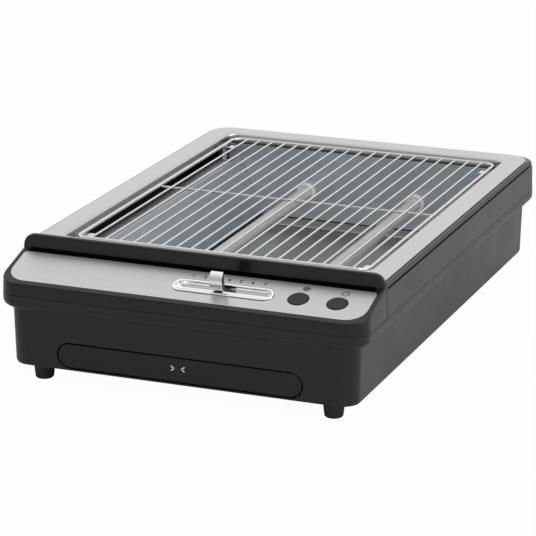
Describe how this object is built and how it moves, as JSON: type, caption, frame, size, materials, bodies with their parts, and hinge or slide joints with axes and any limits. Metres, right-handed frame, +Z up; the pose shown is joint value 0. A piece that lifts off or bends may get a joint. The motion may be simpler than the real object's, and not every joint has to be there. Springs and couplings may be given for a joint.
{
  "type": "flat toaster",
  "caption": "Flat countertop toaster with a lift-off wire rack over quartz heaters, a sloping slider and button panel, and a pull-out crumb tray.",
  "frame": {"origin": "centre of the footprint's bounding box at the table surface", "axes": "+X to the right seen from the front, +Y to the back, +Z up; the control panel faces -Y"},
  "size_m": [0.265, 0.397, 0.0934],
  "materials": {
    "black_plastic": "matte moulded plastic",
    "dark_plastic": "satin moulded plastic",
    "brushed_steel": "fine brushed stainless",
    "bright_chrome": "bright chrome plate",
    "reflector_steel": "smooth reflective sheet",
    "plated_steel": "zinc plated sheet",
    "milky_quartz": "milky satin quartz",
    "white_ceramic": "unglazed white ceramic",
    "heating_alloy": "dull resistance wire",
    "soft_rubber": "matte rubber",
    "board_laminate": "green laminate",
    "part_moulding": "component moulding"
  },
  "bodies": {
    "base": {"lower_housing": "black_plastic", "upper_bezel": "black_plastic", "steel_trim": "brushed_steel", "control_panel": "brushed_steel", "slider_surround": "bright_chrome", "tray_latch": "dark_plastic", "circuit_board": "board_laminate", "slide_potentiometer": "part_moulding", "defrost_switch": "part_moulding", "power_switch": "part_moulding", "relay": "part_moulding", "capacitor": "part_moulding", "tray_runner_left": "plated_steel", "tray_runner_right": "plated_steel", "heat_shield": "plated_steel", "rack_clip_front_left": "plated_steel", "rack_clip_front_right": "plated_steel", "rack_clip_back_left": "plated_steel", "rack_clip_back_right": "plated_steel", "housing_screw_1": "plated_steel", "housing_screw_2": "plated_steel", "housing_screw_3": "plated_steel", "housing_screw_4": "plated_steel", "side_reflector_left": "reflector_steel", "side_reflector_right": "reflector_steel", "end_plate_back": "reflector_steel", "end_plate_front": "reflector_steel", "terminal_block": "white_ceramic", "ceramic_holder_front_left": "white_ceramic", "ceramic_holder_front_right": "white_ceramic", "ceramic_holder_back_left": "white_ceramic", "ceramic_holder_back_right": "white_ceramic", "heater_tube_left": "milky_quartz", "heater_tube_right": "milky_quartz", "heating_coil_left": "heating_alloy", "heating_coil_right": "heating_alloy", "cord_gland": "soft_rubber", "foot_front_left": "soft_rubber", "foot_front_right": "soft_rubber", "foot_back_left": "soft_rubber", "foot_back_right": "soft_rubber"},
    "rack": {"rack": "bright_chrome"},
    "tray": {"crumb_tray": "plated_steel", "tray_front": "black_plastic"},
    "slider": {"slider_knob": "bright_chrome", "slider_carriage": "dark_plastic"},
    "defrost": {"defrost_button": "dark_plastic"},
    "power": {"power_button": "dark_plastic"}
  },
  "joints": [
    {"name": "rack_lift", "type": "slide", "parent": "base", "child": "rack", "axis": [0, 0, 1], "range_m": [0, 0.06]},
    {"name": "tray_slide", "type": "slide", "parent": "base", "child": "tray", "axis": [0, -1, 0], "range_m": [-0.003, 0.3]},
    {"name": "browning_slide", "type": "slide", "parent": "base", "child": "slider", "axis": [1, 0, 0], "range_m": [-0.0233, 0.0283]},
    {"name": "defrost_press", "type": "slide", "parent": "base", "child": "defrost", "axis": [0, 0.2919, -0.9565], "range_m": [0, 0.0015], "stiffness_N_per_m": 300, "springref_m": -0.001},
    {"name": "power_press", "type": "slide", "parent": "base", "child": "power", "axis": [0, 0.2919, -0.9565], "range_m": [0, 0.0015], "stiffness_N_per_m": 300, "springref_m": -0.001}
  ]
}
